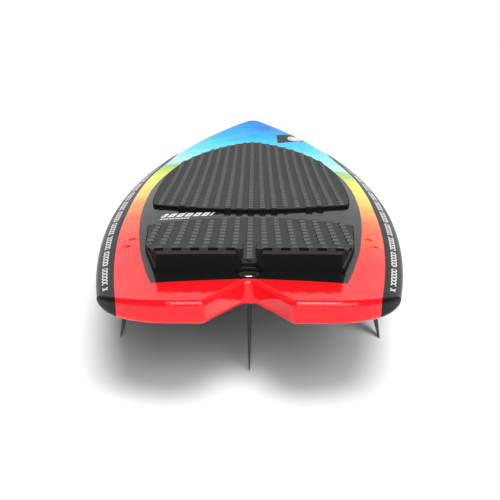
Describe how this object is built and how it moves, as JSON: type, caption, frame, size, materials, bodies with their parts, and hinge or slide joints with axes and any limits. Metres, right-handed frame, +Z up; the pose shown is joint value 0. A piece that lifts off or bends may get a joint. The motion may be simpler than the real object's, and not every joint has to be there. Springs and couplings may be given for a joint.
{
  "type": "surf-style kiteboard",
  "caption": "Short directional board with a swallow tail, foam core in laminate skins, ribbed deck pads with a tail kick, a leash plug and bolted fins.",
  "frame": {"origin": "on the ground plane below the middle of the board's box, at the height of the fin tips", "axes": "+Y from the tail to the nose, +X to the rider's right looking at the nose, +Z up out of the deck"},
  "size_m": [0.5418, 1.42, 0.2034],
  "materials": {
    "core_foam": "cut bead foam, never seen",
    "dense_foam": "dense closed-cell foam, never seen",
    "stringer_wood": "bare plywood, never seen",
    "deck_laminate": "printed and clear-coated",
    "bottom_laminate": "clear-coated",
    "eva_foam": "matt, ribbed",
    "fin_composite": "satin moulded",
    "black_plastic": "satin moulded",
    "stainless": "polished",
    "brass": "turned, never seen"
  },
  "bodies": {
    "root": {"left_foam_core": "core_foam", "right_foam_core": "core_foam", "stringer": "stringer_wood", "centre_block": "dense_foam", "left_fin_block": "dense_foam", "right_fin_block": "dense_foam", "deck_skin": "deck_laminate", "bottom_skin": "bottom_laminate", "front_pad": "eva_foam", "tail_pad": "eva_foam", "left_kick": "eva_foam", "right_kick": "eva_foam", "arch_bar": "eva_foam", "left_fin": "fin_composite", "right_fin": "fin_composite", "centre_fin": "fin_composite", "left_fin_inserts": "brass", "right_fin_inserts": "brass", "left_fin_sleeves": "black_plastic", "right_fin_sleeves": "black_plastic", "left_fin_bolts": "stainless", "right_fin_bolts": "stainless", "centre_fin_box": "black_plastic", "centre_fin_screws": "stainless", "leash_plug_cup": "black_plastic", "leash_plug_bar": "stainless"}
  },
  "joints": []
}
